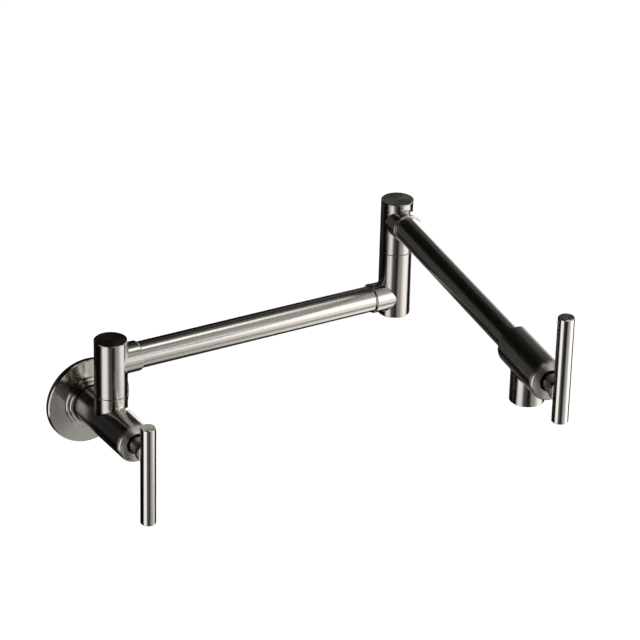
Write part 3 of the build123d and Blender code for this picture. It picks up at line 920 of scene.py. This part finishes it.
@dataclass
class Studio:
    """Pale floor, white room, plain lamps, black flags and the camera of the photograph.

    The camera's angles are in degrees, its lens in the camera's own millimetres.
    """

    azimuth: float = -31.48
    elevation: float = 26.523
    roll: float = 1.534
    lens: float = 177.24
    aim: Vector = field(default_factory=lambda: Vector((0.16314, -0.11286, 0.08643)))
    distance: float = 2.65155
    clip: tuple[float, float] = (0.05, 100.0)
    white: str = "ffffff"
    room_colour: str = "f4f5f7"
    room_strength: float = 0.62
    floor_colour: str = "ecebe9"
    floor_depth: float = -1.75
    floor_half: float = 30.0
    floor_glow: float = 0.55
    cloth_colour: str = "0c0a08"
    flag_radius: float = 1.45
    flag_step: float = 1.25  # degrees from one point of the flags to the next
    lamps: tuple[Lamp, ...] = (
        Lamp("key_lamp", (-1.2, -1.6, 2.2), size=1.6, power=26.0),
        Lamp("fill_lamp", (1.9, -0.9, 1.4), size=1.8, power=12.0),
    )
    gaps: tuple[Gap, ...] = (
        # Left light, seen in the left part of every upright cylinder.
        Gap((-92, -54), (-38, 10), 1.0, (18, 22, 8, 14)),
        # Glow of the table edge, low in front.
        Gap((-48, -26), (-40, -22), 0.09, (14, 10, 8, 6)),
        # Right light, which brightens to the right and ends sharply.
        Gap((-4, 74), (-36, 28), 0.33, (20, 2, 8, 16)),
        Gap((30, 74), (-34, 28), 0.9, (36, 2, 8, 16)),
        Gap((18, 46), (-12, 22), 0.8, (14, 14, 18, 14)),
        # Its reflection in the table, duller in the middle and bright at the right.
        Gap((-12, 54), (-90, -40), 0.43, (20, 14, 6, 10)),
        Gap((56, 76), (-64, -38), 1.1, (12, 6, 10, 6)),
        Gap((76, 100), (-64, -52), 1.1, (6, 14, 10, 6)),
        # Its upper edge, which fades into the ceiling.
        Gap((18, 60), (30, 48), 0.4, (14, 14, 10, 10)),
        Gap((-26, 26), (42, 62), 0.6, (16, 16, 8, 8)),
        # Overhead panel, seen as a thin bright line along the lower arm.
        Gap((46, 92), (60, 78), 2.0, (8, 24, 5, 10)),
        Gap((40, 66), (48, 58), 0.5, (14, 8, 8, 6)),
        Gap((92, 140), (54, 76), 0.16, (16, 30, 8, 10)),
        # Rim light behind the right shoulder, seen along the upper arm.
        Gap((116, 149), (-24, 0), 1.7, (6, 8, 8, 8)),
        Gap((116, 141), (0, 18), 1.7, (8, 6, 8, 12)),
        # Faint light from the room behind.
        Gap((140, 178), (-62, -28), 0.08, (16, 16, 12, 8)),
        Gap((-176, -140), (-22, 14), 0.05, (14, 14, 10, 10)),
        Gap((134, 156), (24, 44), 0.07, (10, 12, 8, 10)),
        # Windows for the sides, back and underside, where the photograph's view mirrors nothing.
        Gap((-122, -94), (26, 46), 0.4, (10, 8, 8, 8)),
        Gap((-14, 4), (2, 26), 0.6, (8, 8, 8, 8)),
        Gap((82, 112), (14, 40), 0.8, (6, 8, 8, 8)),
        Gap((160, -120), (62, 78), 0.4, (12, 12, 6, 8)),
        Gap((150, -110), (-84, -64), 0.6, (12, 12, 8, 8)),
    )

    def build(self) -> None:
        """Sets up the whole studio, with colours shown as they are."""
        bpy.context.scene.view_settings.view_transform = "Standard"
        self.light_room()
        self.lay_floor()
        for lamp in self.lamps:
            lamp.hang(self.aim)
        self.hang_flags()
        self.place_camera()

    def light_room(self) -> None:
        """Makes the room white to the camera and the metal, and a plain pale light to everything else."""
        world = bpy.data.worlds.new("white_room")
        bpy.context.scene.world = world
        world.use_nodes = True
        tree = world.node_tree
        tree.nodes.clear()
        pale = {"Color": linear(self.room_colour), "Strength": self.room_strength}
        plain = add_node(tree, "ShaderNodeBackground", pale)
        white = add_node(tree, "ShaderNodeBackground", {"Color": linear(self.white), "Strength": 1.0})
        pair = {0: seen_plainly(tree), 1: plain.outputs[0], 2: white.outputs[0]}
        both = add_node(tree, "ShaderNodeMixShader", pair)
        add_node(tree, "ShaderNodeOutputWorld", {"Surface": both.outputs[0]})

    def lay_floor(self) -> None:
        """Lays a wide pale floor, which is white to the camera, keeps the shadow, and is clear from below."""
        half = self.floor_half
        corners = np.array([(-half, -half, 0), (half, -half, 0), (half, half, 0), (-half, half, 0)])
        floor = new_object("studio_floor", corners + np.array((0, 0, self.floor_depth)), [(0, 1, 2, 3)])
        material, tree = new_tree("pale_floor")
        paint = add_node(tree, "ShaderNodeBsdfDiffuse", {"Color": linear(self.floor_colour)})
        shares = {0: seen_plainly(tree), 1: self.floor_glow}
        lift = add_node(tree, "ShaderNodeMath", shares, operation="MULTIPLY").outputs[0]
        glow = add_node(tree, "ShaderNodeEmission", {"Color": linear(self.white), "Strength": lift})
        both = add_node(tree, "ShaderNodeAddShader", {0: paint.outputs[0], 1: glow.outputs[0]})
        under = add_node(tree, "ShaderNodeBsdfTransparent")
        back = add_node(tree, "ShaderNodeNewGeometry").outputs["Backfacing"]
        side = add_node(tree, "ShaderNodeMixShader", {0: back, 1: both.outputs[0], 2: under.outputs[0]})
        add_node(tree, "ShaderNodeOutputMaterial", {"Surface": side.outputs[0]})
        dress(floor, material)

    def hang_flags(self) -> None:
        """Hangs black flags round the part, with gaps for the light. Only the metal sees them."""
        columns = round(360 / self.flag_step)
        rows = round(180 / self.flag_step)
        azimuth, elevation = np.meshgrid(
            np.linspace(-180, 180, columns + 1)[:-1],
            np.linspace(-90, 90, rows + 1),
        )
        points = toward(azimuth, elevation) * self.flag_radius + np.array(self.aim)
        faces = []
        for row in range(rows):
            for column in range(columns):
                after = (column + 1) % columns
                low, high = row * columns, (row + 1) * columns
                faces.append((low + column, low + after, high + after, high + column))
        flags = new_object("black_flags", points.reshape(-1, 3), faces)
        opened = sum(gap.open_share(azimuth, elevation) for gap in self.gaps)
        attribute = flags.data.attributes.new("opened", "FLOAT", "POINT")
        attribute.data.foreach_set("value", opened.ravel().astype(np.float32))
        dress(flags, self.black_cloth("opened"))
        flags.visible_camera = False
        flags.visible_diffuse = False
        flags.visible_shadow = False
        flags.visible_transmission = False

    def black_cloth(self, attribute: str) -> bpy.types.Material:
        """Makes black cloth that is clear where a gap is open, with a lamp where its light is over 1.

        Args:
            attribute: the name of the mesh attribute that says how far the gaps are open.

        Returns:
            The material.
        """
        material, tree = new_tree("black_cloth")
        light = add_node(tree, "ShaderNodeAttribute", attribute_name=attribute).outputs["Fac"]
        share = add_node(tree, "ShaderNodeClamp", {"Value": light}).outputs[0]
        extra = add_node(tree, "ShaderNodeMath", {0: light, 1: 1.0}, operation="SUBTRACT").outputs[0]
        boost = add_node(tree, "ShaderNodeMath", {0: extra, 1: 0.0}, operation="MAXIMUM").outputs[0]
        cloth = add_node(tree, "ShaderNodeEmission", {"Color": linear(self.cloth_colour), "Strength": 1.0})
        lamp = add_node(tree, "ShaderNodeEmission", {"Color": linear(self.white), "Strength": boost})
        clear = add_node(tree, "ShaderNodeBsdfTransparent")
        lit = add_node(tree, "ShaderNodeAddShader", {0: clear.outputs[0], 1: lamp.outputs[0]})
        both = add_node(tree, "ShaderNodeMixShader", {0: share, 1: cloth.outputs[0], 2: lit.outputs[0]})
        add_node(tree, "ShaderNodeOutputMaterial", {"Surface": both.outputs[0]})
        return material

    def place_camera(self) -> None:
        """Puts the camera where the photograph was taken from."""
        back = Vector(toward(self.azimuth, self.elevation))
        lens = bpy.data.cameras.new("studio_camera")
        lens.lens = self.lens
        lens.clip_start, lens.clip_end = self.clip
        camera = bpy.data.objects.new("studio_camera", lens)
        bpy.context.scene.collection.objects.link(camera)
        camera.location = self.aim + back * self.distance
        camera.rotation_mode = "QUATERNION"
        roll = Quaternion((0, 0, 1), radians(self.roll))
        camera.rotation_quaternion = (-back).to_track_quat("-Z", "Y") @ roll
        bpy.context.scene.camera = camera


def main() -> None:
    """Dresses the part and sets up its studio."""
    logging.basicConfig(level=logging.INFO, format="%(message)s")
    shop = Workshop()
    lower = Axis((WALL_SWIVEL.x, WALL_SWIVEL.y, middle("lower_arm_tube").z), (1, 0, 0))
    upper = Axis((ELBOW.x, ELBOW.y, middle("upper_arm_tube").z), tuple(OUTLET_OUT))
    WallInlet(shop).build()
    Swivel(shop, "wall_swivel", WALL_SWIVEL, lower).build()
    Arm(shop, "lower_arm_tube", lower).build()
    ElbowBase(shop, lower).build()
    Swivel(shop, "elbow_swivel", ELBOW, upper).build()
    Arm(shop, "upper_arm_tube", upper).build()
    Spout(shop).build()
    Valve(shop, "inlet", INLET, INLET_OUT).build()
    Valve(shop, "outlet", OUTLET, OUTLET_OUT).build()
    Studio().build()
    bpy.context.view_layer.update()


if __name__ == "__main__":
    main()
